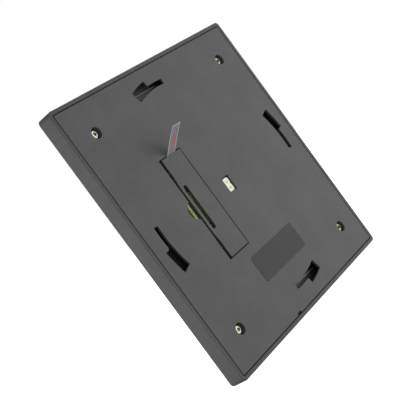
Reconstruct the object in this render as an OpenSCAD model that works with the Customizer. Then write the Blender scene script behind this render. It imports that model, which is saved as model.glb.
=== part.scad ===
// Battery-powered square picture frame, seen best from behind.
// Frame of reference: +Z up, +Y out of the back, the picture faces -Y.
// The origin is the middle of the back face. All outlines are drawn in X and Z.

/* [Body] */
// Side of the square body
body_side = 190; // [180:1:210]
// Depth of the body from back face to front rim
body_depth = 10.6; // [10.6:0.1:14]
// Radius of the body's four upright corners
corner_r = 3; // [1.5:0.5:4]
// Thickness of the frame's side walls
wall = 2.6; // [2.4:0.1:3]
// Width of the groove between the back cover and the rim
groove = 0.6; // [0.4:0.1:0.8]

/* [Front] */
// Thickness of the cover glass
glass_t = 1.05; // [0.9:0.05:1.2]
// Thickness of the adhesive ring behind the glass
gasket_t = 0.2; // [0.1:0.05:0.3]
// Side of the picture area that the adhesive ring leaves open
picture_side = 151.2; // [140:0.2:152]
// Side of the display panel
panel_side = 155; // [153:0.2:155.2]
// Thickness of the picture film
film_t = 0.35; // [0.3:0.05:0.4]
// Thickness of the panel's glass backplane
backplane_t = 0.7; // [0.5:0.05:0.7]

/* [Back cover] */
// Thickness of the back cover
cover_t = 1.8; // [1.6:0.1:2]
// Distance of the screws from the middle, both ways
screw_xz = 71.2; // [68:0.1:72]
// Radius of the counterbores
counterbore_r = 3.8; // [3.6:0.1:4.2]
// Depth of the counterbores' floor below the back face
counterbore_d = 3.8; // [3.2:0.1:4]
// Half size of the middle window across the door's direction
window_x = 3.65; // [3.4:0.05:4.5]
// Half size of the middle window up and down
window_z = 5.4; // [5.2:0.05:6.5]
// Place of the prying notch in the cover's lower edge
pry_x = 19.5; // [10:0.5:60]
// Length of the prying notch
pry_len = 5; // [3:0.5:8]
// Depth of the prying notch
pry_d = 1.3; // [0.8:0.1:1.6]

/* [Twist-lock slots] */
// Radius of the slots' inner edge
slot_r1 = 76.6; // [76:0.1:78]
// Radius of the narrow part's outer edge
slot_r2 = 80.2; // [79:0.1:81]
// Radius of the wide part's outer edge
slot_r3 = 84.4; // [83:0.1:86]
// Angle from the axis to the narrow end
slot_a1 = 4.8; // [3:0.1:6]
// Angle from the axis to the shoulder
slot_a2 = 6.2; // [4:0.1:8]
// Angle from the axis to the wide end
slot_a3 = 17.2; // [15:0.1:18]
// Rounding of the shoulder
shoulder_r = 1.4; // [0.8:0.1:2]

/* [Label] */
// Width of the label
label_w = 53.6; // [40:0.2:60]
// Height of the label
label_h = 18.4; // [14:0.2:20]
// Height of the label's middle
label_z = -53.8; // [-56:0.1:-50]

/* [Battery door] */
// Edge of the door opening at the hinge side
door_x1 = 18.7; // [18.5:0.1:18.9]
// Edge of the door opening at the latch side
door_x2 = 42.1; // [41.9:0.1:42.4]
// Half height of the door opening
door_z = 37; // [36.9:0.1:37.4]
// Gap between door and opening at the hinge side
hinge_gap = 0.7; // [0.4:0.1:0.8]
// Gap between door and opening at the latch side
latch_gap = 1.7; // [1.6:0.1:1.8]
// Gap between door and opening at top and bottom
end_gap = 0.7; // [0.6:0.1:0.8]
// Width of the slot that frees the latch strip
strip_slot_w = 3.5; // [2.8:0.1:3.6]
// Width of the latch strip
strip_w = 2.3; // [2.2:0.1:2.8]
// Half length of the slot that frees the latch strip
strip_slot_z = 16.2; // [15.6:0.1:17]
// How far the latch's tongues reach under the cover
latch_bite = 0.65; // [0.4:0.05:0.7]
// Radius of the finger notch
notch_r = 6.1; // [5.6:0.1:6.6]
// Depth of the finger notch from the opening's edge
notch_d = 5.5; // [4.6:0.1:5.7]

/* [Pull tab] */
// Width of the film
tab_w = 8.75; // [7:0.05:9]
// Thickness of the film
tab_t = 0.2; // [0.1:0.02:0.2]
// Place of the film's middle along the door's top seam
tab_x = 28.7; // [27:0.1:31]
// Lean of the film from the back face
tab_angle = 53.8; // [53.8:0.1:60]
// Length of the film outside the back face
tab_out = 21.2; // [12:0.2:26]
// Height at which the film crosses the back face
tab_z = 36.65; // [36.6:0.01:36.7]

/* [Coin cells] */
// Diameter of a cell
cell_dia = 20; // [19.8:0.1:20]
// Thickness of a cell
cell_t = 3.2; // [2.5:0.1:3.2]
// Place of the cells across the door
cell_x = 29.9; // [29.7:0.1:30.1]
// Distance of each cell's middle from the door's middle
cell_z = 22.7; // [22.6:0.1:22.8]

/* [Board] */
// Thickness of the main board
board_t = 1.2; // [1:0.1:1.2]
// Board edge on the side away from the door
board_x1 = -31; // [-36:0.5:-28]
// Board edge under the door, beside the finger notch
board_x2 = 41.2; // [40.8:0.1:41.4]
// Half height of the board
board_z = 42; // [41:0.5:46]
// Half height of the board's arm between the cell holders
board_arm_z = 11.4; // [11:0.1:11.6]

/* [Hidden] */
$fn = 96;
eps = 0.01;

// Depths, measured down from the back face along -Y
front_d = body_depth;
gasket_d = front_d - 0.05 - glass_t - gasket_t;
film_d = gasket_d - film_t;
backplane_d = film_d - backplane_t;
shelf_t = 1.1;
shelf_d = gasket_d - shelf_t;
tray_t = 0.8;
tray_d = shelf_d - tray_t;
flange_d = 5.6;
board_d = 4.2;
cell_d = 2.9;
holder_d = 3.2;
ledge_d = cover_t + 0.05;
socket_d = 1;
socket_z = -0.3;
socket_pitch = 4.2;

// Outlines
rim_in = body_side - 2 * wall;
cover_side = rim_in - 2 * groove;
glass_side = rim_in - 0.4;
panel_hole = panel_side + 0.6;
tray_side = panel_side + 3;
flange_w = 1.2;
ear_z = 50;
ear_x = tray_side / 2 + 4.5;

// Screws
screw_r = 1.45;
screw_hole_r = 1.5;
head_r = 2.9;
head_h = 1.9;
small_screw_r = 0.8;
small_hole_r = 0.85;
small_head_r = 1.9;
small_head_h = 1.1;
floor_t = 1.2;
standoff_d = counterbore_d + floor_t;
board_screw_in = 3.5;
board_screw_x = [board_x1 + board_screw_in, 13.5];

// Board: its edge beside the cell holders, the chips' column, the ribbon and its slot in the tray
board_waist_x = 17.6;
chip_x = -18;
controller_z = -8;
memory_z = -24;
radio_x = -17;
radio_z = 17;
flex_x = -8;
flex_w = 18;
flex_t = 0.2;
flex_slot_z = -64;

// Door
door_right = door_x1 + hinge_gap;
door_left = door_x2 - latch_gap;
door_half = door_z - end_gap;
door_tuck = 0.8;
strip_x = door_left - strip_w;
strip_move_z = strip_slot_z - 0.1;
strip_cut = 0.05;
hook_z = 9;
hook_w = 5;
tongue_z = 9.5;
tongue_w = 4;
tongue_d1 = cover_t + 0.3;
tongue_d2 = 3.1;
push_lip_z = 6;
push_lip_t = 0.9;
push_lip_d = 2.9;

// Film
tab_sin = sin(tab_angle);
tab_cos = cos(tab_angle);
tab_in = 5 / tab_sin;
tab_clear = 0.3;

// Cell holders
pocket_r = cell_dia / 2 + 0.2;
pocket_d = tray_d - 1;
holder_w = 23.8;
holder_in = 12;
holder_out = 34.6;
leaf_t = 0.3;
leaf_w = 6.6;

// Cells
can_round = 0.5;
cap_r = 8.6;

// ---------------------------------------------------------------- helpers
// Plate between two depths, from an outline drawn in X and Z.
module slab(d1, d2) {
    translate([0, -d1, 0]) rotate([90, 0, 0]) linear_extrude(d2 - d1) children();
}

// Round bar between two depths.
module post(d1, d2, r, x = 0, z = 0) {
    translate([x, -d1, z]) rotate([90, 0, 0]) cylinder(h = d2 - d1, r = r);
}

// Block between two depths.
module block(d1, d2, x1, x2, z1, z2) {
    translate([x1, -d2, z1]) cube([x2 - x1, d2 - d1, z2 - z1]);
}

module rounded_square(w, h, r) {
    square([w - 2 * r, h], center = true);
    square([w, h - 2 * r], center = true);
    for (x = [-1, 1], z = [-1, 1]) translate([x * (w / 2 - r), z * (h / 2 - r)]) circle(r);
}

module square_ring(outer, outer_r, inner, inner_r) {
    difference() {
        rounded_square(outer, outer, outer_r);
        rounded_square(inner, inner, inner_r);
    }
}

module four_corners(d) {
    for (x = [-d, d], z = [-d, d]) translate([x, 0, z]) children();
}

// Places of the eight screws that hold the tray: two on each side.
module tray_ears() {
    for (side = [0:3], z = [-ear_z, ear_z]) rotate([0, side * 90, 0]) translate([ear_x, 0, z]) children();
}

module board_screw_places() {
    for (x = board_screw_x, z = [-1, 1]) translate([x, 0, z * (board_z - board_screw_in)]) children();
}

// Part of a ring between two radii and two angles; angles run clockwise from the axis.
module sector(r1, r2, a1, a2) {
    far = r2 * 1.2;
    intersection() {
        difference() {
            circle(r2, $fn = 360);
            circle(r1, $fn = 360);
        }
        polygon([[0, 0], [far * cos(a1), -far * sin(a1)], [far * cos(a2), -far * sin(a2)]]);
    }
}

// One twist-lock slot: a narrow track, then a wide mouth, with a rounded shoulder.
module twist_slot() {
    sector(slot_r1, slot_r2, -slot_a1, slot_a2 + 1);
    sector(slot_r1, slot_r3, slot_a2, slot_a3);
    slot_shoulder();
}

// Rounds the step between track and mouth. Its ends run into the slot at a clear angle.
module slot_shoulder() {
    s = shoulder_r;
    rotate(-slot_a2) translate([slot_r2 + s, s]) polygon(concat(
        [[-s - 0.5, 0.5], [-s - 0.05, 0.5]],
        [for (a = [186:6:264]) [s * cos(a), s * sin(a)]],
        [[0.5, -s - 0.05], [0.5, -s - 0.5], [-s - 0.5, -s - 0.5]]));
}

// Slanted slab along the film's own direction, for the film and the room it needs.
module along_film(w, below, above, t1, t2) {
    translate([tab_x, 0, tab_z]) rotate([90 - tab_angle, 0, 0])
        translate([-w / 2, -below, -t1]) cube([w, below + above, t1 + t2]);
}

// ---------------------------------------------------------------- body
module front_frame() {
    color([0.37, 0.37, 0.38]) difference() {
        union() {
            slab(0, front_d) square_ring(body_side, corner_r, rim_in, 1);
            slab(shelf_d, gasket_d) square_ring(rim_in + 1, 1.2, panel_hole, 1);
            slab(ledge_d, ledge_d + 1.2) square_ring(rim_in + 1, 1.2, rim_in - 2.6, 1);
            tray_ears() post(flange_d, shelf_d + eps, 2.8);
        }
        tray_ears() post(flange_d - 1, gasket_d - 0.6, small_hole_r);
    }
}

module front_glass() {
    color([0.1, 0.1, 0.11, 0.5]) slab(front_d - 0.05 - glass_t, front_d - 0.05)
        rounded_square(glass_side, glass_side, 1);
}

module glass_gasket() {
    color([0.06, 0.06, 0.06]) slab(gasket_d, gasket_d + gasket_t)
        square_ring(glass_side - 0.8, 1, picture_side, 0.5);
}

module display_film() {
    color([0.8, 0.8, 0.77]) slab(film_d, gasket_d) square(panel_side - 0.4, center = true);
}

module display_backplane() {
    color([0.45, 0.5, 0.5]) slab(backplane_d, film_d) square(panel_side, center = true);
}

module panel_tray() {
    color([0.62, 0.63, 0.65]) difference() {
        union() {
            slab(tray_d, shelf_d - 0.02) rounded_square(tray_side, tray_side, 2);
            slab(flange_d, tray_d + eps) square_ring(tray_side, 2, tray_side - 2 * flange_w, 1);
            tray_ears() {
                block(flange_d - tray_t, flange_d, -5.5, 3, -4, 4);
                post(flange_d - tray_t, flange_d, 4, 1);
            }
            four_corners(screw_xz) post(standoff_d, tray_d + eps, 3.4);
            board_screw_places() post(board_d + board_t, tray_d + eps, 2.2);
        }
        four_corners(screw_xz) post(standoff_d - 1, shelf_d + 1, screw_hole_r);
        board_screw_places() post(board_d, shelf_d + 1, small_hole_r);
        tray_ears() post(board_d, shelf_d + 1, small_hole_r + 0.25);
        slab(tray_d - 1, shelf_d + 1) translate([flex_x, flex_slot_z])
            square([flex_w + 4, 3], center = true);
    }
}

module tray_screws() {
    color([0.55, 0.55, 0.56]) tray_ears() difference() {
        union() {
            post(flange_d - tray_t - small_head_h, flange_d - tray_t, small_head_r);
            post(flange_d - tray_t - eps, gasket_d - 1, small_screw_r);
        }
        cross_recess(flange_d - tray_t - small_head_h, 0.6, 1.1, 0.35);
    }
}

// ---------------------------------------------------------------- screws
module cross_recess(d, depth, reach, half) {
    for (turn = [0, 90]) rotate([0, 45 + turn, 0])
        block(d - 1, d + depth, -reach, reach, -half, half);
}

module pan_head(d) {
    translate([0, -d - head_h, 0]) rotate([-90, 0, 0]) rotate_extrude() difference() {
        union() {
            square([head_r, head_h * 0.45]);
            intersection() {
                square([head_r, head_h]);
                translate([0, head_h - 4.2]) circle(4.2, $fn = 180);
            }
        }
        translate([head_r - 0.25, -eps]) square([1, 0.2]);
    }
}

module cover_screws() {
    head_d = counterbore_d - head_h;
    color([0.72, 0.7, 0.66]) four_corners(screw_xz) difference() {
        union() {
            pan_head(head_d);
            post(counterbore_d - eps, tray_d + 0.6, screw_r);
        }
        cross_recess(head_d, 1.1, 1.7, 0.42);
    }
}

module board_screws() {
    color([0.72, 0.7, 0.66]) board_screw_places() difference() {
        union() {
            post(board_d - small_head_h, board_d, small_head_r);
            post(board_d - eps, tray_d + 0.6, small_screw_r);
        }
        cross_recess(board_d - small_head_h, 0.6, 1.1, 0.35);
    }
}

// ---------------------------------------------------------------- electronics
module board_outline() {
    translate([board_x1, -board_z]) square([board_waist_x - board_x1, 2 * board_z]);
    translate([board_waist_x - 1, -board_arm_z]) square([board_x2 - board_waist_x + 1, 2 * board_arm_z]);
}

module main_board() {
    color([0.35, 0.48, 0.25]) difference() {
        slab(board_d, board_d + board_t) board_outline();
        board_screw_places() post(board_d - 1, board_d + board_t + 1, small_screw_r + 0.3);
        socket_places() post(board_d - 1, board_d + board_t + 1, 0.55);
    }
}

module controller_chip() {
    color([0.12, 0.12, 0.13]) slab(board_d - 1, board_d) translate([chip_x, controller_z])
        rounded_square(12, 12, 0.4);
}

module memory_chip() {
    color([0.12, 0.12, 0.13]) slab(board_d - 0.8, board_d) translate([chip_x, memory_z])
        rounded_square(11, 8, 0.4);
}

module radio_module() {
    color([0.75, 0.75, 0.74]) {
        slab(board_d - 2, board_d - 0.6) translate([radio_x, radio_z]) rounded_square(15, 12, 0.6);
        slab(board_d - 0.6, board_d) translate([radio_x, radio_z + 2]) square([16, 18], center = true);
    }
}

module flex_connector() {
    color([0.2, 0.18, 0.16]) difference() {
        block(board_d - 1.5, board_d, flex_x - flex_w / 2 - 2, flex_x + flex_w / 2 + 2,
            -board_z + 0.6, -board_z + 4.6);
        block(board_d - 0.85, board_d - 0.35, flex_x - flex_w / 2 - 0.2, flex_x + flex_w / 2 + 0.2,
            -board_z, -board_z + 3);
    }
}

// Small parts in rows: capacitors and resistors beside the chips, a coil on the arm.
module board_passives() {
    color([0.55, 0.48, 0.38]) {
        for (i = [0:6]) block(board_d - 0.6, board_d, -8, -6.6, -16 + i * 2.6, -15.2 + i * 2.6);
        for (i = [0:4]) block(board_d - 0.6, board_d, -27 + i * 3, -25.4 + i * 3, 1.5, 2.3);
        for (i = [0:5]) block(board_d - 0.7, board_d, 8, 9.6, 14 + i * 3, 15 + i * 3);
        for (i = [0:3]) block(board_d - 0.6, board_d, 23 + i * 2.6, 24.5 + i * 2.6, -8.4, -7.6);
    }
    color([0.16, 0.16, 0.17]) {
        block(board_d - 0.7, board_d, 24, 29, -3.6, 1.4);
        block(board_d - 0.65, board_d, 23.5, 27.5, 4.2, 7.4);
    }
}

// The ribbon leaves the panel, comes up through the tray and ends in its connector.
module display_flex() {
    on_panel = -backplane_d + 0.03;
    over_tray = -tray_d + 0.5;
    in_connector = -board_d + 0.5;
    path = [
        [on_panel, flex_slot_z - 1.2], [on_panel, flex_slot_z - 0.2], [over_tray, flex_slot_z + 1.1],
        [over_tray, -board_z - 7], [in_connector, -board_z - 3], [in_connector, -board_z + 2.8]];
    upper = [for (p = path) [p[0] + flex_t, p[1]]];
    lower = [for (i = [len(path) - 1:-1:0]) path[i]];
    color([0.72, 0.45, 0.16]) translate([flex_x - flex_w / 2, 0, 0]) rotate([90, 0, 90])
        linear_extrude(flex_w) polygon(concat(upper, lower));
}

module socket_places() {
    for (z = [-1, 1]) translate([0, 0, socket_z + z * socket_pitch / 2]) children();
}

module power_socket_body() {
    color([0.9, 0.88, 0.8]) difference() {
        union() {
            slab(socket_d, board_d) translate([0, socket_z]) {
                for (z = [-2.4, 2.4]) translate([0, z]) rounded_square(6.1, 4.75, 1.3);
                square([4.6, 3], center = true);
            }
            slab(board_d - 0.9, board_d) translate([0, socket_z]) rounded_square(6.9, 9.9, 0.5);
        }
        socket_places() {
            post(socket_d - 1, board_d + 1, 0.7);
            post(socket_d - 1, socket_d + 0.35, 1);
        }
    }
}

module power_socket_contacts() {
    color([0.8, 0.72, 0.5]) socket_places() {
        difference() {
            post(socket_d + 0.6, board_d - 0.3, 0.65);
            post(socket_d, board_d - 0.8, 0.42);
        }
        post(board_d - 0.31, board_d + board_t + 0.5, 0.45);
    }
}

// ---------------------------------------------------------------- cells
module cell_holder(up) {
    z1 = up ? holder_in : -holder_out;
    z2 = up ? holder_out : -holder_in;
    zc = up ? cell_z : -cell_z;
    far = up ? 1 : -1;
    x1 = cell_x - holder_w / 2;
    x2 = cell_x + holder_w / 2;
    color([0.09, 0.09, 0.1]) difference() {
        union() {
            block(holder_d, tray_d - 0.02, x1, x2, z1, z2);
            for (side = [-1, 1]) translate([cell_x + side * 10.6, 0, zc])
                block(cell_d - 0.9, holder_d + eps, -1.1, 1.1, -2.4, 2.4);
        }
        post(cell_d - 0.1, pocket_d, pocket_r, cell_x, zc);
        block(holder_d - 1, tray_d - 0.7, tab_x - 5, tab_x + 5, zc + far * 8 - 4.5, zc + far * 8 + 4.5);
        block(holder_d - 1, tray_d - 0.7, tab_x - 5, tab_x + 5,
            up ? holder_out - 4.2 : -holder_out - 1, up ? holder_out + 1 : -holder_out + 4.2);
    }
    // Two lips keep the cell in its pocket.
    color([0.09, 0.09, 0.1]) for (side = [-1, 1]) translate([cell_x + side * 10.6, 0, zc])
        block(cell_d - 0.9, cell_d - 0.1, side > 0 ? -1.3 : -1.1, side > 0 ? 1.1 : 1.3, -2.4, 2.4);
}

module cell_holder_upper() { cell_holder(true); }
module cell_holder_lower() { cell_holder(false); }

module coin_cell(z) {
    r = cell_dia / 2;
    color([0.78, 0.78, 0.77]) translate([cell_x, -cell_d - cell_t, z]) rotate([-90, 0, 0])
        rotate_extrude($fn = 180) {
            translate([0, 0.3]) square([r - can_round, cell_t - 0.3]);
            translate([0, 0.8]) square([r, cell_t - 0.8 - can_round]);
            translate([r - can_round, cell_t - can_round]) circle(can_round, $fn = 48);
            square([cap_r, 1]);
        }
}

module coin_cell_upper() { coin_cell(cell_z); }
module coin_cell_lower() { coin_cell(-cell_z); }

// Leaf springs: each stands on the holder's floor at its outer end, beside the cell's rim.
module positive_contacts() {
    color([0.82, 0.72, 0.45]) {
        intersection() {
            along_film(leaf_w, 12, 12, -tab_t - 0.1, tab_t + 0.1 + leaf_t);
            block(2.2, tray_d - 0.8, 10, 50, 25, 40);
        }
        mirror([0, 0, 1]) intersection() {
            along_film(leaf_w, 12, 12, -tab_t - 0.1, tab_t + 0.1 + leaf_t);
            block(2.2, tray_d - 0.8, 10, 50, 25, 40);
        }
    }
}

// Flat springs on the pocket floors, each with a round bump under its cell.
module negative_contacts() {
    spring_t = 0.2;
    color([0.82, 0.72, 0.45]) for (z = [-cell_z, cell_z]) {
        block(pocket_d - spring_t, pocket_d, cell_x - 3, cell_x + 3, z - 8, z + 8);
        post(cell_d + cell_t + 0.01, pocket_d - spring_t / 2, 1.6, cell_x, z);
    }
}

// ---------------------------------------------------------------- back cover
module door_opening() {
    translate([door_x1, -door_z]) square([door_x2 - door_x1, 2 * door_z]);
    translate([door_x2 + notch_d - notch_r, 0]) circle(notch_r);
}

module back_cover() {
    edge = cover_side / 2;
    color([0.385, 0.385, 0.39]) difference() {
        union() {
            slab(0, cover_t) rounded_square(cover_side, cover_side, 0.8);
            slab(cover_t - eps, cover_t + 2.2) square_ring(cover_side - 2.2, 0.6, cover_side - 5, 0.4);
            four_corners(screw_xz) post(0.5, standoff_d, counterbore_r + 1.2);
            for (z = [-1, 1]) translate([0, 0, z * (door_z + 0.6)])
                block(cover_t - eps, 3, 21, 41, -0.6, 0.6);
            for (z = [-25.5, 25.5]) translate([door_x1 - 1.6, 0, z])
                block(cover_t - eps, 3, -0.6, 0.6, -11.5, 11.5);
        }
        four_corners(screw_xz) {
            post(-1, counterbore_d, counterbore_r);
            post(0, standoff_d + 1, screw_r + 0.25);
        }
        slab(-1, cover_t + 1) {
            for (turn = [0:90:270]) rotate(turn) twist_slot();
            square([2 * window_x, 2 * window_z], center = true);
        }
        slab(-1, cover_t + 1.5) door_opening();
        translate([pry_x, 0, -edge]) block(-1, cover_t + 3, -pry_len / 2, pry_len / 2, -1, pry_d);
    }
}

module rating_label() {
    color([0.3, 0.3, 0.3]) translate([0, 0, label_z]) slab(-0.15, 0)
        rounded_square(label_w, label_h, 2);
}

// ---------------------------------------------------------------- battery door
module door_outline() {
    far = door_left - door_tuck;
    polygon([
        [door_right, -door_half], [far, -door_half], [far, -24], [door_left, -18],
        [door_left, 18], [far, 24], [far, door_half], [door_right, door_half]]);
}

module strip_slot() {
    half = strip_slot_w / 2;
    translate([strip_x - half, 0]) {
        square([strip_slot_w, 2 * (strip_slot_z - half)], center = true);
        for (z = [-1, 1]) translate([0, z * (strip_slot_z - half)]) circle(half);
    }
}

// The strip's own length of the door, from the middle of the slot to the door's edge.
module strip_room(cut) {
    x1 = strip_x - strip_slot_w / 2;
    translate([x1, -strip_move_z - cut])
        square([door_left - x1 + (cut > 0 ? 2 : 0), 2 * (strip_move_z + cut)]);
}

module battery_door() {
    color([0.385, 0.385, 0.39]) difference() {
        union() {
            slab(0, cover_t) door_outline();
            for (z = [-hook_z, hook_z]) translate([0, 0, z]) {
                block(cover_t - eps, 3, door_right, door_right + 1.3, -hook_w / 2, hook_w / 2);
                block(cover_t + 0.3, 3, door_x1 - 1.3, door_right + eps, -hook_w / 2, hook_w / 2);
            }
        }
        slab(-1, cover_t + 1) {
            strip_slot();
            strip_room(strip_cut);
        }
        along_film(tab_w + 0.8, 4, 4, tab_clear, 8);
    }
}

module door_latch() {
    color([0.385, 0.385, 0.39]) {
        slab(0, cover_t) difference() {
            strip_room(0);
            strip_slot();
        }
        for (z = [-tongue_z, tongue_z]) translate([0, 0, z]) {
            block(cover_t - eps, tongue_d2, strip_x + 0.6, door_left, -tongue_w / 2, tongue_w / 2);
            tongue_nose();
        }
        // Lip that a fingernail pushes against, in the notch.
        block(cover_t - eps, push_lip_d, door_left - push_lip_t, door_left, -push_lip_z, push_lip_z);
    }
}

// Wedge-shaped tongue that reaches under the cover's edge.
module tongue_nose() {
    tip = door_x2 + latch_bite;
    translate([0, 0, -tongue_w / 2]) linear_extrude(tongue_w) polygon([
        [door_left - eps, -tongue_d1], [tip, -tongue_d1], [tip, -tongue_d1 - 0.35],
        [door_left + 0.6, -tongue_d2], [door_left - eps, -tongue_d2]]);
}

// ---------------------------------------------------------------- pull tab
module pull_tab() {
    color([0.8, 0.8, 0.82, 0.5]) along_film(tab_w, tab_in, tab_out, tab_t / 2, tab_t / 2);
}

front_frame();
front_glass();
glass_gasket();
display_film();
display_backplane();
panel_tray();
tray_screws();
display_flex();
flex_connector();
main_board();
board_screws();
controller_chip();
memory_chip();
radio_module();
board_passives();
power_socket_body();
power_socket_contacts();
cell_holder_upper();
cell_holder_lower();
coin_cell_upper();
coin_cell_lower();
positive_contacts();
negative_contacts();
back_cover();
cover_screws();
rating_label();
battery_door();
door_latch();
pull_tab();
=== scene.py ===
"""Looks of a thin square picture frame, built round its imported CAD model.

Each sub-assembly of the frame is a class: its fields are sizes in millimetres, its methods
build the pieces and dress them and the CAD nodes in their finishes. +Y points out of the back,
+Z up, and the picture faces -Y.
"""

import logging
import math
from collections.abc import Callable, Iterable
from dataclasses import dataclass
from enum import Enum

import bmesh
import bpy
from mathutils import Matrix, Quaternion, Vector


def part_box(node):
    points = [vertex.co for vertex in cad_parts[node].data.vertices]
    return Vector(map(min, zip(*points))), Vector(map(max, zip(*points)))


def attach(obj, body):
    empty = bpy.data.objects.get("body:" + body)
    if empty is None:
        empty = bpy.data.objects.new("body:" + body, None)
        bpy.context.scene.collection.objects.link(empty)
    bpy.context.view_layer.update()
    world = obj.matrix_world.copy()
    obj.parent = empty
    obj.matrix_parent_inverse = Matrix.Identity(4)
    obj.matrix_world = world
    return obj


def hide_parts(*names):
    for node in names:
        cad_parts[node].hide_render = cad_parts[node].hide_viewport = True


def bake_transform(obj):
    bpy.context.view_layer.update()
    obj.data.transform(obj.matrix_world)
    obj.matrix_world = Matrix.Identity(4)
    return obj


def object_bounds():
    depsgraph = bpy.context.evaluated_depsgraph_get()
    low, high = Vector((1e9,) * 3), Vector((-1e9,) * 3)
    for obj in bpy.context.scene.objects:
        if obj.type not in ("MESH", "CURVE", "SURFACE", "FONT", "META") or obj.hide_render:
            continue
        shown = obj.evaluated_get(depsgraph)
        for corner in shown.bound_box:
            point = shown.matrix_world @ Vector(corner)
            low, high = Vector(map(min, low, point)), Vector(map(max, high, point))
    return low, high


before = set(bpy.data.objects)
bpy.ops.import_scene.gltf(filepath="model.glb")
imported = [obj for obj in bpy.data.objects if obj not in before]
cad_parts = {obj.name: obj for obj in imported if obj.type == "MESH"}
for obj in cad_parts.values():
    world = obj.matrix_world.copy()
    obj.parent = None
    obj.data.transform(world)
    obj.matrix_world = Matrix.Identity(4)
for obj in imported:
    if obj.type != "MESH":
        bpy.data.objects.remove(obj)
CAD_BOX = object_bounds()

MM = 0.001
LOG = logging.getLogger("picture_frame")

# Points closer than this, in metres, count as one.
TOUCH = 1e-6
# Faces that turn by less than this become one: on a copy of a CAD node, and on the node itself.
COPY_FLAT = math.radians(1)
NODE_FLAT = math.radians(0.5)
# Edges that turn by more than this are sharp: on a new piece, and on a CAD node.
PIECE_SHARP = math.radians(30)
NODE_SHARP = math.radians(40)
# A face looks in a direction when the cosine of the angle between them passes this.
SAME_WAY = 0.99
# The band that most values of a noise lie in.
NOISE_BAND = (0.3, 0.7)

Colour = tuple[float, float, float]
Range = tuple[float, float]
Point = Iterable[float]
Socket = bpy.types.NodeSocket


class Body(Enum):
    """The CAD bodies that pieces ride on."""

    HOUSING = "housing"
    DOOR = "door"
    LATCH = "latch"
    FILM = "film"


class Slot(Enum):
    """The record's material slots that new pieces name."""

    COVER = "cover_grey"
    SCREW = "screw_steel"
    GLASS = "cover_glass"
    FILM = "clear_film"
    CELL = "cell_steel"


# ---------------------------------------------------------------------------- node sheets
def scaled(colour: Colour, factor: float) -> Colour:
    """A colour made darker or lighter by a factor."""
    return tuple(min(1.0, part * factor) for part in colour)


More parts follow.
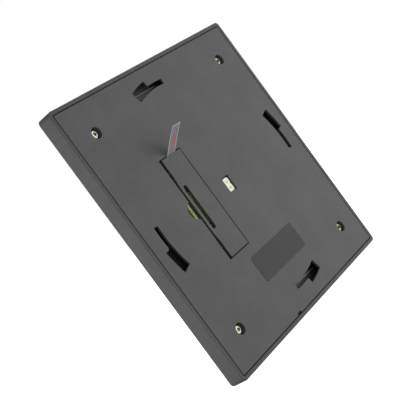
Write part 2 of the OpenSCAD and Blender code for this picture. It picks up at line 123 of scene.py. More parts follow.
class NodeSheet:
    """A new material's node tree, with short calls for the nodes that the finishes share."""

    def __init__(self, name: str) -> None:
        """Makes the material with its shader.

        Args:
            name: The finish's name.
        """
        self.material = bpy.data.materials.new(name)
        self.material.use_nodes = True
        self.tree = self.material.node_tree
        self.shader = self.tree.nodes["Principled BSDF"]

    def node(self, kind: str, **settings: object) -> bpy.types.Node:
        """Adds a node.

        Args:
            kind: The node's type name without its ShaderNode prefix.
            **settings: Properties of the node.

        Returns:
            The new node.
        """
        made = self.tree.nodes.new("ShaderNode" + kind)
        for key, value in settings.items():
            setattr(made, key, value)
        return made

    def feed(self, target: Socket, value: object) -> None:
        """Links a socket to an input, or sets a plain value on it.

        Args:
            target: The input.
            value: A socket or a plain value.
        """
        if isinstance(value, bpy.types.NodeSocket):
            self.tree.links.new(value, target)
        else:
            target.default_value = value

    def set(self, **values: object) -> None:
        """Sets or links the shader's inputs.

        Args:
            **values: Inputs by name; an underscore in a name stands for a space.
        """
        for key, value in values.items():
            target = self.shader.inputs[key.replace("_", " ")]
            if target.type == "RGBA" and isinstance(value, tuple):
                value = (*value, 1.0)
            self.feed(target, value)

    def place(self, centre: Point = (0, 0, 0), turn: Point = (0, 0, 0)) -> Socket:
        """Object coordinates in millimetres.

        Args:
            centre: The point in millimetres that becomes the origin.
            turn: Rotation in radians about that point.

        Returns:
            The coordinate socket.
        """
        moved = self.node("Mapping", vector_type="POINT")
        self.feed(moved.inputs["Vector"], self.node("TexCoord").outputs["Object"])
        moved.inputs["Scale"].default_value = (1 / MM,) * 3
        moved.inputs["Location"].default_value = tuple(-part for part in centre)
        turned = self.node("Mapping", vector_type="POINT")
        self.feed(turned.inputs["Vector"], moved.outputs["Vector"])
        turned.inputs["Rotation"].default_value = tuple(turn)
        return turned.outputs["Vector"]

    def noise(self, where: Socket, scale: float, detail: float = 2.0, rough: float = 0.5) -> Socket:
        """Noise from 0 to 1.

        Args:
            where: The coordinates.
            scale: Cells to the millimetre.
            detail: Number of finer layers.
            rough: Strength of each finer layer.

        Returns:
            The noise's socket.
        """
        made = self.node("TexNoise")
        self.feed(made.inputs["Vector"], where)
        made.inputs["Scale"].default_value = scale
        made.inputs["Detail"].default_value = detail
        made.inputs["Roughness"].default_value = rough
        return made.outputs["Fac"]

    def cells(self, where: Socket, scale: float) -> Socket:
        """Distance from the middles of scattered cells.

        Args:
            where: The coordinates.
            scale: Cells to the millimetre.

        Returns:
            The distance's socket.
        """
        made = self.node("TexVoronoi")
        self.feed(made.inputs["Vector"], where)
        made.inputs["Scale"].default_value = scale
        return made.outputs["Distance"]

    def maths(self, operation: str, first: object, second: object = 0.0, clamp: bool = False) -> Socket:
        """One step of arithmetic.

        Args:
            operation: The Math node's operation.
            first: A socket or number.
            second: A socket or number.
            clamp: Whether the result is held between 0 and 1.

        Returns:
            The result's socket.
        """
        made = self.node("Math", operation=operation, use_clamp=clamp)
        self.feed(made.inputs[0], first)
        self.feed(made.inputs[1], second)
        return made.outputs[0]

    def span(
        self, value: Socket, low: float, high: float, out_low: float = 0.0, out_high: float = 1.0
    ) -> Socket:
        """Maps one range to another, held at its ends.

        Args:
            value: The socket that is mapped.
            low: The value that gives out_low.
            high: The value that gives out_high.
            out_low: First end of the new range.
            out_high: Second end of the new range.

        Returns:
            The mapped socket.
        """
        made = self.node("MapRange", clamp=True)
        for key, number in (
            ("Value", value), ("From Min", low), ("From Max", high),
            ("To Min", out_low), ("To Max", out_high),
        ):
            self.feed(made.inputs[key], number)
        return made.outputs["Result"]

    def spread(self, noise: Socket, low: float = 0.0, high: float = 1.0) -> Socket:
        """Maps the band that most of a noise lies in to low..high."""
        return self.span(noise, *NOISE_BAND, low, high)

    def mix(self, share: object, first: object, second: object) -> Socket:
        """Blends two colours.

        Args:
            share: How much of the second colour shows.
            first: A colour or its socket.
            second: A colour or its socket.

        Returns:
            The blend's socket.
        """
        made = self.node("Mix", data_type="RGBA")
        self.feed(made.inputs[0], share)
        for socket, colour in ((made.inputs[6], first), (made.inputs[7], second)):
            self.feed(socket, (*colour, 1.0) if isinstance(colour, tuple) else colour)
        return made.outputs[2]

    def axes(self, where: Socket) -> tuple[Socket, Socket, Socket]:
        """Splits a vector.

        Args:
            where: The vector's socket.

        Returns:
            Its X, Y and Z.
        """
        made = self.node("SeparateXYZ")
        self.feed(made.inputs[0], where)
        return made.outputs[0], made.outputs[1], made.outputs[2]

    def edges(self, radius: float) -> Socket:
        """A mask that is 1 on the object's edges.

        Args:
            radius: Where it fades out, in millimetres from the edge.

        Returns:
            The mask's socket.
        """
        rounded = self.node("Bevel", samples=6)
        rounded.inputs["Radius"].default_value = radius * MM
        agree = self.node("VectorMath", operation="DOT_PRODUCT")
        self.feed(agree.inputs[0], rounded.outputs["Normal"])
        self.feed(agree.inputs[1], self.node("NewGeometry").outputs["True Normal"])
        return self.span(agree.outputs["Value"], low=0.995, high=0.8)

    def bump(self, height: Socket, depth: float) -> None:
        """Gives the shader a bump.

        Args:
            height: The relief, from 0 to 1.
            depth: Its depth in millimetres.
        """
        made = self.node("Bump")
        made.inputs["Strength"].default_value = 1.0
        made.inputs["Distance"].default_value = depth * MM
        self.feed(made.inputs["Height"], height)
        self.feed(self.shader.inputs["Normal"], made.outputs["Normal"])


# ---------------------------------------------------------------------------- finishes
@dataclass(frozen=True)
class Finish:
    """What every finish has: a name, and a way to lay itself on a node sheet."""

    name: str

    def make(self) -> bpy.types.Material:
        """Builds the material.

        Returns:
            The finished material.
        """
        sheet = NodeSheet(self.name)
        self.lay(sheet)
        return sheet.material

    def lay(self, sheet: NodeSheet) -> None:
        """Lays the finish on a sheet; each finish has its own way."""
        raise NotImplementedError


@dataclass(frozen=True)
class Moulded(Finish):
    """Moulded plastic with a spark-eroded grain, faint mottling, and its edges painted lighter (a painted
    highlight) or darker (painted shade), as each finish sets.
    """

    colour: Colour
    roughness: Range = (0.5, 0.62)
    shine: float = 0.4
    grain_scale: float = 3.2
    grain_depth: float = 0.08
    mottle: float = 0.26
    cloud_scale: float = 0.035
    cloud_share: float = 0.4
    speck_scale: float = 0.9
    speck_share: float = 0.6
    # Signed: above 0 the edges get a painted highlight, below 0 painted shade.
    edge_painted_light: float = 0.35
    edge_radius: float = 0.35

    def lay(self, sheet: NodeSheet) -> None:
        """Lays clouds and specks of two tints, the painted highlight or painted shade on the edges, and
        the grain.

        Args:
            sheet: The new material's sheet.
        """
        where = sheet.place()
        cloud = sheet.noise(where, self.cloud_scale, detail=3.0, rough=0.6)
        speck = sheet.noise(where, self.speck_scale, detail=3.0, rough=0.65)
        grain = sheet.noise(where, self.grain_scale, rough=0.7)
        drift = sheet.span(cloud, 0.35, 0.65, 0.0, self.cloud_share)
        blend = sheet.maths("ADD", drift, sheet.spread(speck, 0.0, self.speck_share), clamp=True)
        dark, light = scaled(self.colour, 1 - self.mottle), scaled(self.colour, 1 + self.mottle)
        body = sheet.mix(blend, dark, light)
        # Painted light on the edges: a paler colour is a painted highlight, a darker one painted shade.
        edge = scaled(self.colour, 1 + self.edge_painted_light)
        sheet.set(Base_Color=sheet.mix(sheet.edges(self.edge_radius), body, edge))
        sheet.set(Roughness=sheet.spread(grain, *self.roughness), Specular_IOR_Level=self.shine)
        sheet.bump(grain, self.grain_depth)


@dataclass(frozen=True)
class Metal(Finish):
    """Plated or drawn metal, plain or with fine lathe rings about a centre."""

    colour: Colour
    roughness: Range
    stain: Colour = (0.32, 0.27, 0.2)
    stain_share: float = 0.25
    stain_scale: float = 0.6
    rings_at: tuple[float, float] | None = None
    ring_pitch: float = 0.25
    scratch_scale: float = 4.0

    def lay(self, sheet: NodeSheet) -> None:
        """Lays the metal, its stains and its rings or scratches.

        Args:
            sheet: The new material's sheet.
        """
        centre = (self.rings_at[0], 0, self.rings_at[1]) if self.rings_at else (0, 0, 0)
        where = sheet.place(centre)
        patch = sheet.noise(where, self.stain_scale, detail=4.0, rough=0.6)
        share = sheet.span(patch, 0.45, 0.75, 0.0, self.stain_share)
        sheet.set(Base_Color=sheet.mix(share, self.colour, self.stain), Metallic=1.0)
        if self.rings_at:
            height = self._rings(sheet, where)
        else:
            height = sheet.noise(where, self.scratch_scale, detail=3.0, rough=0.6)
        sheet.set(Roughness=sheet.spread(height, *self.roughness))
        sheet.bump(height, depth=0.01)

    def _rings(self, sheet: NodeSheet, where: Socket) -> Socket:
        """Noise that runs in rings about the centre.

        Args:
            sheet: The new material's sheet.
            where: Coordinates from the centre.

        Returns:
            The rings' socket.
        """
        x, _, z = sheet.axes(where)
        square = sheet.maths("ADD", sheet.maths("MULTIPLY", x, x), sheet.maths("MULTIPLY", z, z))
        turn = sheet.maths("MULTIPLY", sheet.maths("SQRT", square), 1 / self.ring_pitch)
        line = sheet.node("CombineXYZ")
        sheet.feed(line.inputs[0], turn)
        return sheet.noise(line.outputs[0], scale=1.0, detail=3.0, rough=0.7)


@dataclass(frozen=True)
class BoardLacquer(Finish):
    """Green solder lacquer over copper tracks, with tinned holes."""

    colour: Colour
    track: Colour
    tin: Colour = (0.72, 0.7, 0.62)
    track_length: float = 4.6
    track_pitch: float = 1.3
    track_gap: float = 0.13
    track_share: float = 0.75
    hole_scale: float = 0.28
    hole_rim: Range = (0.1, 0.085)

    def lay(self, sheet: NodeSheet) -> None:
        """Lays the tracks, which show in patches, and the holes.

        Args:
            sheet: The new material's sheet.
        """
        where = sheet.place(turn=(math.pi / 2, 0, 0))
        rows = sheet.node("TexBrick", offset=0.37, offset_frequency=3, squash=1.6, squash_frequency=2)
        sheet.feed(rows.inputs["Vector"], where)
        for key, number in (
            ("Scale", 1.0), ("Mortar Size", self.track_gap), ("Mortar Smooth", 0.3),
            ("Brick Width", self.track_length), ("Row Height", self.track_pitch),
        ):
            rows.inputs[key].default_value = number
        patches = sheet.span(sheet.noise(where, scale=0.13, detail=1.0), low=0.47, high=0.5)
        tracks = sheet.maths("MULTIPLY", rows.outputs["Fac"], patches)
        hole = sheet.span(sheet.cells(where, self.hole_scale), *self.hole_rim)
        green = sheet.mix(sheet.maths("MULTIPLY", tracks, self.track_share), self.colour, self.track)
        sheet.set(Base_Color=sheet.mix(hole, green, self.tin), Coat_Weight=0.3, Coat_Roughness=0.15)
        sheet.set(Roughness=sheet.span(hole, 0.0, 1.0, 0.38, 0.25))
        sheet.bump(sheet.maths("ADD", tracks, hole), depth=0.035)


@dataclass(frozen=True)
class Nylon(Finish):
    """Unfilled plastic that glows a little where light passes through it."""

    colour: Colour
    shade: Colour
    roughness: Range = (0.4, 0.52)
    milkiness: float = 0.15

    def lay(self, sheet: NodeSheet) -> None:
        """Lays two close tints with some light passing under the skin.

        Args:
            sheet: The new material's sheet.
        """
        where = sheet.place()
        cloud = sheet.noise(where, scale=0.7)
        sheet.set(Base_Color=sheet.mix(sheet.spread(cloud), self.colour, self.shade))
        sheet.set(Subsurface_Weight=self.milkiness, Subsurface_Radius=(MM, 0.8 * MM, 0.5 * MM))
        sheet.set(Roughness=sheet.spread(cloud, *self.roughness))
        sheet.bump(sheet.noise(where, scale=5.0, detail=1.0), depth=0.01)


@dataclass(frozen=True)
class Flecked(Finish):
    """An even finish with flecks: moulded chips and holders, small parts, ribbon, coated sheet."""

    colour: Colour
    fleck: Colour
    roughness: Range = (0.42, 0.6)
    fleck_scale: float = 2.5

    def lay(self, sheet: NodeSheet) -> None:
        """Lays the colour and its flecks.

        Args:
            sheet: The new material's sheet.
        """
        fleck = sheet.noise(sheet.place(), self.fleck_scale, detail=3.0, rough=0.7)
        sheet.set(Base_Color=sheet.mix(sheet.span(fleck, 0.5, 0.75), self.colour, self.fleck))
        sheet.set(Roughness=sheet.spread(fleck, *self.roughness))
        sheet.bump(fleck, depth=0.015)


@dataclass(frozen=True)
class LabelStock(Finish):
    """Satin label film with a faint tint and a fine tooth."""

    colour: Colour
    roughness: Range = (0.6, 0.7)
    pale_factor: float = 1.35

    def lay(self, sheet: NodeSheet) -> None:
        """Lays the tint and the tooth.

        Args:
            sheet: The new material's sheet.
        """
        where = sheet.place()
        tooth = sheet.noise(where, scale=6.0)
        tint = sheet.span(sheet.noise(where, scale=0.5, detail=4.0, rough=0.7), 0.35, 0.65)
        sheet.set(Base_Color=sheet.mix(tint, self.colour, scaled(self.colour, self.pale_factor)))
        sheet.set(Roughness=sheet.spread(tooth, *self.roughness))
        sheet.bump(tooth, depth=0.006)


@dataclass(frozen=True)
class ClearSheet(Finish):
    """Glass with the faintest ripple."""

    colour: Colour
    roughness: Range = (0.02, 0.03)
    index: float = 1.5

    def lay(self, sheet: NodeSheet) -> None:
        """Lays the clear plate and its ripple.

        Args:
            sheet: The new material's sheet.
        """
        ripple = sheet.noise(sheet.place(), scale=0.02, detail=1.0)
        sheet.set(Base_Color=self.colour, Transmission_Weight=1.0, IOR=self.index)
        sheet.set(Roughness=sheet.spread(ripple, *self.roughness))
        sheet.bump(ripple, depth=0.001)


@dataclass(frozen=True)
class PicturePaper(Finish):
    """The panel's reflective film: off-white with the fine dots of its ink capsules."""

    colour: Colour
    dot: Colour
    dot_scale: float = 5.0
    dot_share: float = 0.3
    drift_scale: float = 0.01
    drift_share: float = 0.35

    def lay(self, sheet: NodeSheet) -> None:
        """Lays the dots over a slow drift of tint.

        Args:
            sheet: The new material's sheet.
        """
        where = sheet.place()
        capsule = sheet.span(sheet.cells(where, self.dot_scale), 0.25, 0.6)
        drift = sheet.spread(sheet.noise(where, self.drift_scale), 0.0, self.drift_share)
        share = sheet.maths("ADD", sheet.maths("MULTIPLY", capsule, self.dot_share), drift, clamp=True)
        sheet.set(Base_Color=sheet.mix(share, self.colour, self.dot), Roughness=0.75)
        sheet.bump(capsule, depth=0.01)


@dataclass(frozen=True)
class PrintedFilm(Finish):
    """Clear pull film: frosted, with a painted highlight along its cut edges, and a wavy red printed bar.

    It reads the film's own UV map, with U across and V from the inner end.
    """

    colour: Colour
    # Colour of the painted highlight along the cut edges.
    edge: Colour
    mark: Colour
    width: float
    length: float
    mark_from: float
    mark_to: float
    mark_half: float = 0.9
    mark_slant: float = 0.1
    mark_side: float = 0.6
    mark_blur: float = 0.15
    wave_rate: float = 2.6
    wave_reach: float = 0.22
    # Where the painted highlight along the cut edges fades, in millimetres from the edge.
    highlight_band: Range = (0.75, 0.35)
    highlight_band_share: float = 0.9
    alpha: Range = (0.5, 0.97)
    roughness: Range = (0.22, 0.4)

    def lay(self, sheet: NodeSheet) -> None:
        """Lays the clear film, the painted highlight along its edges and the bar.

        Args:
            sheet: The new material's sheet.
        """
        u, v, _ = sheet.axes(sheet.node("UVMap", uv_map="film").outputs["UV"])
        across = sheet.maths("MULTIPLY", sheet.maths("SUBTRACT", u, 0.5), self.width)
        along = sheet.maths("MULTIPLY", v, self.length)
        side = sheet.maths("SUBTRACT", self.width / 2, sheet.maths("ABSOLUTE", across))
        end = sheet.maths("SUBTRACT", self.length, along)
        # Painted highlight: a band along the cut edges, paler and more opaque.
        highlight_band = sheet.span(sheet.maths("MINIMUM", side, end), *self.highlight_band)
        mark = self._bar(sheet, across, along)
        base = sheet.mix(highlight_band, self.colour, self.edge)
        solid = sheet.maths("MAXIMUM", sheet.maths("MULTIPLY", highlight_band, self.highlight_band_share), mark)
        haze = sheet.noise(sheet.place(), scale=0.8)
        sheet.set(Base_Color=sheet.mix(mark, base, self.mark))
        sheet.set(Alpha=sheet.span(solid, 0.0, 1.0, *self.alpha))
        sheet.set(Roughness=sheet.spread(haze, *self.roughness))

    def _bar(self, sheet: NodeSheet, across: Socket, along: Socket) -> Socket:
        """The mask of the wavy bar.

        Args:
            sheet: The new material's sheet.
            across: Millimetres from the film's middle line.
            along: Millimetres from its inner end.

        Returns:
            A socket that is 1 on the bar.
        """
        middle, half = (self.mark_from + self.mark_to) / 2, (self.mark_to - self.mark_from) / 2
        from_middle = sheet.maths("SUBTRACT", along, middle)
        lean = sheet.maths("MULTIPLY", from_middle, self.mark_slant)
        swing = sheet.maths("SINE", sheet.maths("MULTIPLY", along, self.wave_rate))
        wave = sheet.maths("MULTIPLY", swing, self.wave_reach)
        line = sheet.maths("ADD", sheet.maths("ADD", lean, wave), self.mark_side)
        off = sheet.maths("ABSOLUTE", sheet.maths("SUBTRACT", across, line))
        reach = sheet.maths("ABSOLUTE", from_middle)
        beside, beyond = (
            sheet.span(distance, size + self.mark_blur, size - self.mark_blur)
            for distance, size in ((off, self.mark_half), (reach, half))
        )
        return sheet.maths("MULTIPLY", beside, beyond)


@dataclass(frozen=True)
class StudioWhite(Finish):
    """The floor: pale, and bright enough to meet the white backdrop without a line."""

    name: str = "studio_white"
    colour: Colour = (0.86, 0.86, 0.86)
    pale: Colour = (0.9, 0.9, 0.9)
    glow: float = 1.0

    def lay(self, sheet: NodeSheet) -> None:
        """Lays two close whites that glow.

        Args:
            sheet: The new material's sheet.
        """
        tone = sheet.spread(sheet.noise(sheet.place(), scale=0.002))
        sheet.set(Base_Color=sheet.mix(tone, self.colour, self.pale), Roughness=0.9)
        sheet.set(Emission_Color=(1.0, 1.0, 1.0), Emission_Strength=self.glow)


# The cover's edges are painted paler: a painted highlight along them.
COVER_PLASTIC = Moulded("cover_plastic", colour=(0.061, 0.0605, 0.064)).make()


# ---------------------------------------------------------------------------- mesh work
def deselect() -> None:
    """Goes back to object mode with nothing selected."""
    if bpy.context.mode != "OBJECT":
        bpy.ops.object.mode_set(mode="OBJECT")
    bpy.ops.object.select_all(action="DESELECT")


@dataclass
class Workpiece:
    """A mesh on the bench: a primitive or a copy of a CAD node, shaped step by step.

    Its sizes and places are in metres, and most steps return it so that they can be chained.
    """

    obj: bpy.types.Object

    @classmethod
    def block(cls, name: str, low: Point, high: Point) -> "Workpiece":
        """A box, to start from.

        Args:
            name: The piece's name.
            low: Its lowest corner.
            high: Its highest corner.

        Returns:
            The workpiece.
        """
        deselect()
        low, high = Vector(low), Vector(high)
        bpy.ops.mesh.primitive_cube_add(size=1, location=(low + high) / 2, scale=high - low)
        return cls._named(name)

    @classmethod
    def disc(cls, name: str, centre: Point, radius: float, depth: float, sides: int = 64) -> "Workpiece":
        """A round blank with its axis along Y, to start from.

        Args:
            name: The piece's name.
            centre: Its middle.
            radius: Its radius.
            depth: Its length along Y.
            sides: Number of its sides.

        Returns:
            The workpiece.
        """
        deselect()
        bpy.ops.mesh.primitive_cylinder_add(
            vertices=sides, radius=radius, depth=depth, location=centre, rotation=(math.pi / 2, 0, 0)
        )
        return cls._named(name)

    @classmethod
    def strip(cls, name: str, width: float, length: float) -> "Workpiece":
        """A flat strip in X and Y that has a UV map, to start from.

        Args:
            name: The piece's name.
            width: Its size in X, about the origin.
            length: Its size in Y, from the origin.

        Returns:
            The workpiece.
        """
        deselect()
        bpy.ops.mesh.primitive_plane_add(size=1, location=(0, length / 2, 0))
        bpy.context.object.scale = (width, length, 1)
        return cls._named(name)

    @classmethod
    def copy_of(cls, name: str, node: str) -> "Workpiece":
        """A merged copy of a CAD node, with its flat faces whole again.

        Args:
            name: The piece's name.
            node: The CAD node.

        Returns:
            The workpiece.
        """
        deselect()
        made = bpy.data.objects.new(name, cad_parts[node].data.copy())
        made.data.materials.clear()
        bpy.context.scene.collection.objects.link(made)
        made.select_set(True)
        bpy.context.view_layer.objects.active = made
        bpy.ops.mesh.customdata_custom_splitnormals_clear()
        piece = cls(made)
        piece.edit()
        bpy.ops.mesh.select_all(action="SELECT")
        bpy.ops.mesh.remove_doubles(threshold=TOUCH)
        bpy.ops.mesh.dissolve_limited(angle_limit=COPY_FLAT)
        return piece

    @classmethod
    def _named(cls, name: str) -> "Workpiece":
        """Names the active object and puts its place into its mesh.

        Args:
            name: The piece's name.

        Returns:
            The workpiece.
        """
        obj = bpy.context.object
        obj.name = obj.data.name = name
        bpy.ops.object.transform_apply(location=True, rotation=True, scale=True)
        return cls(obj)

    def choose(self) -> None:
        """Makes the piece the only one selected, in object mode."""
        deselect()
        self.obj.select_set(True)
        bpy.context.view_layer.objects.active = self.obj

    def edit(self) -> None:
        """Opens the piece in edit mode."""
        if bpy.context.mode == "EDIT_MESH" and bpy.context.object == self.obj:
            return
        self.choose()
        bpy.ops.object.mode_set(mode="EDIT")

    def pick(self, kind: str, test: Callable[[object], bool]) -> "Workpiece":
        """Selects the faces, edges or vertices that pass a test.

        Args:
            kind: "FACE", "EDGE" or "VERT".
            test: Says whether an element of the mesh is wanted.

        Returns:
            The workpiece.
        """
        self.edit()
        bpy.ops.mesh.select_mode(type=kind)
        bpy.ops.mesh.select_all(action="DESELECT")
        mesh = bmesh.from_edit_mesh(self.obj.data)
        elements = {"FACE": mesh.faces, "EDGE": mesh.edges, "VERT": mesh.verts}[kind]
        for element in elements:
            if test(element):
                element.select_set(True)
        mesh.select_flush_mode()
        bmesh.update_edit_mesh(self.obj.data)
        return self

    def facing(self, direction: Point) -> "Workpiece":
        """Selects the faces that look in a direction."""
        aim = Vector(direction).normalized()
        return self.pick("FACE", lambda face: face.normal.dot(aim) > SAME_WAY)

    def sharp(self, beyond: float = -math.inf) -> "Workpiece":
        """Selects the sharp edges.

        Args:
            beyond: Only edges with both ends past this Y are taken.

        Returns:
            The workpiece.
        """
        def wanted(edge: object) -> bool:
            """Whether an edge is sharp and far enough out."""
            outside = all(vertex.co.y > beyond for vertex in edge.verts)
            return outside and edge.calc_face_angle(0) > PIECE_SHARP

        return self.pick("EDGE", wanted)

    def extrude(self, offset: Point) -> "Workpiece":
        """Draws the selected faces out by an offset."""
        bpy.ops.mesh.extrude_region_move(TRANSFORM_OT_translate={"value": tuple(offset)})
        return self

    def arms(self, reach: float) -> "Workpiece":
        """Draws a block out four ways, in X and Z, into a cross.

        Args:
            reach: How far each arm stands out of the block.

        Returns:
            The workpiece.
        """
        for way in ((1, 0, 0), (-1, 0, 0), (0, 0, 1), (0, 0, -1)):
            self.facing(way).extrude(Vector(way) * reach)
        return self

    def inset(self, thickness: float) -> "Workpiece":
        """Insets the selected faces."""
        bpy.ops.mesh.inset(thickness=thickness, depth=0)
        return self

    def bevel(self, width: float, segments: int) -> "Workpiece":
        """Rounds the selected edges."""
        bpy.ops.mesh.bevel(offset=width, segments=segments, affect="EDGES", clamp_overlap=True)
        return self

    def taper(self, factor: float, centre: Point) -> "Workpiece":
        """Scales the selection in X and Z about a centre."""
        bpy.ops.transform.resize(value=(factor, 1, factor), center_override=tuple(centre))
        return self

    def cut(self, point: Point, normal: Point, drop: bool = False) -> "Workpiece":
        """Cuts the whole piece along a plane.

        Args:
            point: A point on the plane.
            normal: The plane's normal.
            drop: Whether what lies on the normal's side is taken away and the cut closed.

        Returns:
            The workpiece.
        """
        self.edit()
        bpy.ops.mesh.select_all(action="SELECT")
        bpy.ops.mesh.bisect(
            plane_co=tuple(point), plane_no=tuple(normal), use_fill=drop, clear_outer=drop
        )
        return self

    def modify(self, kind: str, **settings: object) -> "Workpiece":
        """Adds a modifier and applies it.

        Args:
            kind: The modifier's type.
            **settings: Its properties.

        Returns:
            The workpiece.
        """
        self.choose()
        made = self.obj.modifiers.new(kind.lower(), kind)
        for key, value in settings.items():
            setattr(made, key, value)
        bpy.ops.object.modifier_apply(modifier=made.name)
        return self

    def move(self, place: Matrix) -> "Workpiece":
        """Moves the whole mesh.

        Args:
            place: The matrix that its points are multiplied by.

        Returns:
            The workpiece.
        """
        deselect()
        self.obj.data.transform(place)
        return self

    def done(
        self, material: bpy.types.Material, slot: Slot, smooth: float = 35, even: bool = False
    ) -> bpy.types.Object:
        """Closes the piece: normals out, edges smoothed, material set.

        Args:
            material: The piece's finish.
            slot: Not used.
            smooth: Edges that turn by less than this many degrees are smoothed.
            even: Whether big flat faces stay flat beside rounded edges.

        Returns:
            The finished object.
        """
        self.edit()
        bpy.ops.mesh.select_all(action="SELECT")
        bpy.ops.mesh.normals_make_consistent(inside=False)
        self.choose()
        bpy.ops.object.shade_smooth_by_angle(angle=math.radians(smooth))
        if even:
            self.modify("WEIGHTED_NORMAL", keep_sharp=True, weight=100)
        self.obj.data.materials.clear()
        self.obj.data.materials.append(material)
        deselect()
        LOG.info("piece %s: %d faces", self.obj.name, len(self.obj.data.polygons))
        return self.obj


def soften_edges(obj: bpy.types.Object, width: float, segments: int) -> None:
    """Gives a CAD node softly broken edges, as modifiers that stay live.

    Args:
        obj: The CAD node's object.
        width: Width of the broken edge in millimetres.
        segments: Steps across it.
    """
    weld = obj.modifiers.new("weld", "WELD")
    weld.merge_threshold = TOUCH
    whole = obj.modifiers.new("whole_faces", "DECIMATE")
    whole.decimate_type = "DISSOLVE"
    whole.angle_limit = NODE_FLAT
    edge = obj.modifiers.new("broken_edge", "BEVEL")
    edge.width = width * MM
    edge.segments = segments
    edge.limit_method = "ANGLE"
    edge.angle_limit = NODE_SHARP
    edge.harden_normals = True


def dress(material: bpy.types.Material, *nodes: str, soften: float = 0.0, segments: int = 2) -> None:
    """Gives CAD nodes their material and, where asked, softly broken edges.

    Args:
        material: Their finish.
        *nodes: The CAD nodes.
        soften: Width of the broken edge in millimetres, or 0 to leave edges sharp.
        segments: Steps across the broken edge.
    """
    for node in nodes:
        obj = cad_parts[node]
        obj.data.materials.clear()
        obj.data.materials.append(material)
        if soften:
            soften_edges(obj, soften, segments)
        LOG.info("node %s: %s", node, material.name)


# ---------------------------------------------------------------------------- housing
@dataclass
class Housing:
    """The moulded frame and back cover, with the label and the four cover screws."""

    rim_break: float = 0.25
    cover_break: float = 0.15
    label_break: float = 0.05
    head_radius: float = 2.9
    head_height: float = 1.9
    shank_radius: float = 1.45
    dome: float = 0.75
    dome_steps: int = 6
    recess_reach: float = 1.65
    recess_half: float = 0.42
    recess_depth: float = 1.15
    recess_taper: float = 0.45
    recess_turn: float = 45.0

    def build(self) -> None:
        """Dresses the mouldings and builds the screws."""
        # The frame's edges are painted darker: painted shade along its rims.
        plastic = Moulded(
            "frame_plastic", colour=(0.043, 0.0428, 0.0455), edge_painted_light=-0.6, edge_radius=0.9
        )
        label = LabelStock("label_film", colour=(0.017, 0.017, 0.018))
        dress(plastic.make(), "front_frame", soften=self.rim_break, segments=3)
        dress(COVER_PLASTIC, "back_cover", soften=self.cover_break)
        dress(label.make(), "rating_label", soften=self.label_break)
        self.screws()

    def screws(self) -> None:
        """Models one pan-head screw, copies it to the corners and stands them for the CAD node."""
        low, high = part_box("cover_screws")
        pitch = high.x - self.head_radius * MM
        first = self._screw(low, high, pitch)
        for number, (x, z) in enumerate(((1, -1), (-1, -1), (-1, 1)), start=2):
            twin = first.copy()
            twin.data = first.data.copy()
            twin.name = twin.data.name = f"cover_screw_{number}"
            bpy.context.scene.collection.objects.link(twin)
            twin.data.transform(Matrix.Translation(((x - 1) * pitch, 0, (z - 1) * pitch)))
            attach(twin, Body.HOUSING.value)
        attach(first, Body.HOUSING.value)
        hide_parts("cover_screws")

    def _screw(self, low: Vector, high: Vector, pitch: float) -> bpy.types.Object:
        """One screw at the upper corner on the +X side.

        Args:
            low: Lowest corner of all four CAD screws.
            high: Their highest corner.
            pitch: Distance of each screw from the middle, both ways.

        Returns:
            The screw's object.
        """
        radius, height = self.head_radius * MM, self.head_height * MM
        top, seat = high.y, high.y - height
        steel = Metal("nickel_plate", colour=(0.42, 0.385, 0.31), roughness=(0.24, 0.42))
        screw = Workpiece.disc("cover_screw_1", (pitch, top - height / 2, pitch), radius, height)
        screw.facing((0, -1, 0)).inset(radius - self.shank_radius * MM).extrude((0, low.y - seat, 0))
        screw.sharp(beyond=top - TOUCH).bevel(self.dome * MM, self.dome_steps)
        cutter = self._recess(pitch, top)
        screw.modify("BOOLEAN", object=cutter.obj, operation="DIFFERENCE", solver="EXACT")
        bpy.data.objects.remove(cutter.obj)
        return screw.done(steel.make(), Slot.SCREW)

    def _recess(self, pitch: float, top: float) -> Workpiece:
        """The tapered cross that is cut out of a screw head.

        Args:
            pitch: Distance of the screw from the middle, both ways.
            top: The top of its head.

        Returns:
            The cutter.
        """
        half, reach = self.recess_half * MM, self.recess_reach * MM
        low = Vector((pitch - half, top - self.recess_depth * MM, pitch - half))
        cross = Workpiece.block("screw_recess", low, (pitch + half, top + MM, pitch + half))
        cross.arms(reach - half)
        cross.facing((0, -1, 0)).taper(self.recess_taper, (pitch, low.y, pitch))
        home = Matrix.Translation((pitch, 0, pitch))
        turn = Matrix.Rotation(math.radians(self.recess_turn), 4, "Y")
        return cross.move(home @ turn @ home.inverted())


# ---------------------------------------------------------------------------- door
@dataclass
class BatteryDoor:
    """The door leaf with its hooks, and the latch strip beside the slot."""

    edge_break: float = 0.12
    rigid_half: float = 11.6
    bend_steps: int = 10

    def build(self) -> None:
        """Dresses the door and splits the latch strip into its stiff middle and two limbs."""
        dress(COVER_PLASTIC, "battery_door", soften=self.edge_break)
        rigid = self.rigid_half * MM
        middle = Workpiece.copy_of("latch_middle", "door_latch")
        middle.cut((0, 0, rigid), (0, 0, 1), drop=True).cut((0, 0, -rigid), (0, 0, -1), drop=True)
        grip = middle.done(COVER_PLASTIC, Slot.COVER)
        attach(grip, Body.LATCH.value)
        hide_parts("door_latch")
        self._limb("latch_limb_upper", 1)
        self._limb("latch_limb_lower", -1)

    def _limb(self, name: str, way: int) -> None:
        """One limb of the latch strip, from the door to the strip's stiff middle, cut in steps along its
        length.

        Args:
            name: The piece's name.
            way: 1 for the limb above the middle, -1 for the one below.
        """
        low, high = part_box("door_latch")
        end, rigid = high.z, self.rigid_half * MM
        limb = Workpiece.copy_of(name, "door_latch").cut((0, 0, way * rigid), (0, 0, -way), drop=True)
        for step in range(1, self.bend_steps):
            at = rigid + (end - rigid) * step / self.bend_steps
            limb.cut((0, 0, way * at), (0, 0, 1))
        strip = limb.done(COVER_PLASTIC, Slot.COVER)
        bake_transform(strip)


